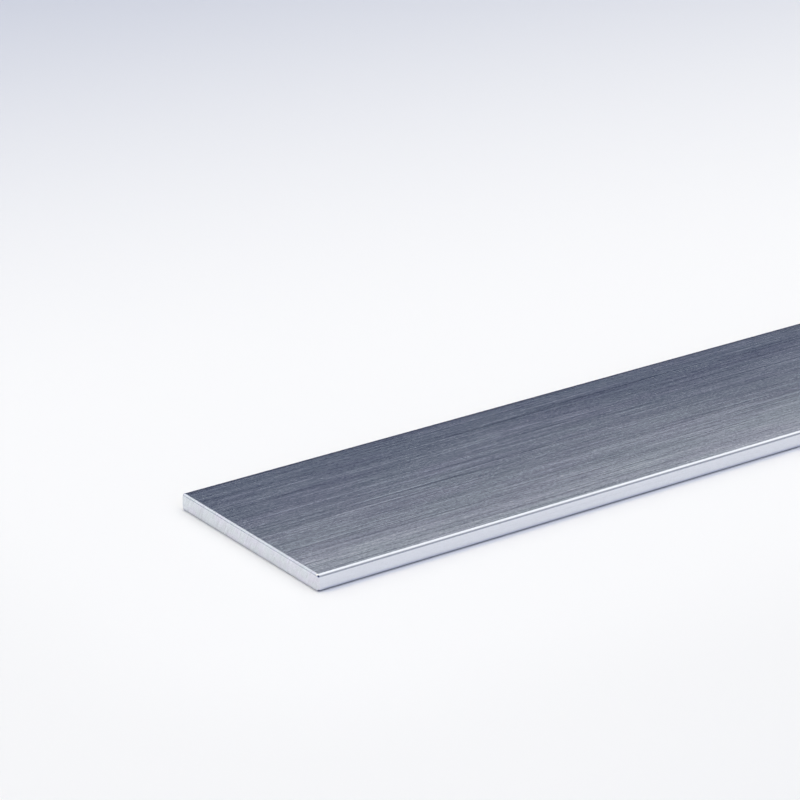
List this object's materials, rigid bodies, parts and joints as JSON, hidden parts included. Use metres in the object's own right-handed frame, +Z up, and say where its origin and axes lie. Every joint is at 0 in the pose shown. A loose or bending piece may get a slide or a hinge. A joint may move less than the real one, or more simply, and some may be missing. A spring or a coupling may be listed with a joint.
{
  "type": "flat bar",
  "caption": "Straight brushed steel flat bar of thin rectangular section, with rounded long edges and square-cut, deburred ends.",
  "frame": {"origin": "middle of the underside, on the surface the bar lies on", "axes": "+X along the bar's length, +Y across its width, +Z up through its thickness"},
  "size_m": [1, 0.04, 0.003],
  "materials": {
    "brushed_steel": "ground along the length to a fine brushed satin, with bright rounded edges"
  },
  "bodies": {
    "root": {"flat_bar": "brushed_steel"}
  },
  "joints": []
}
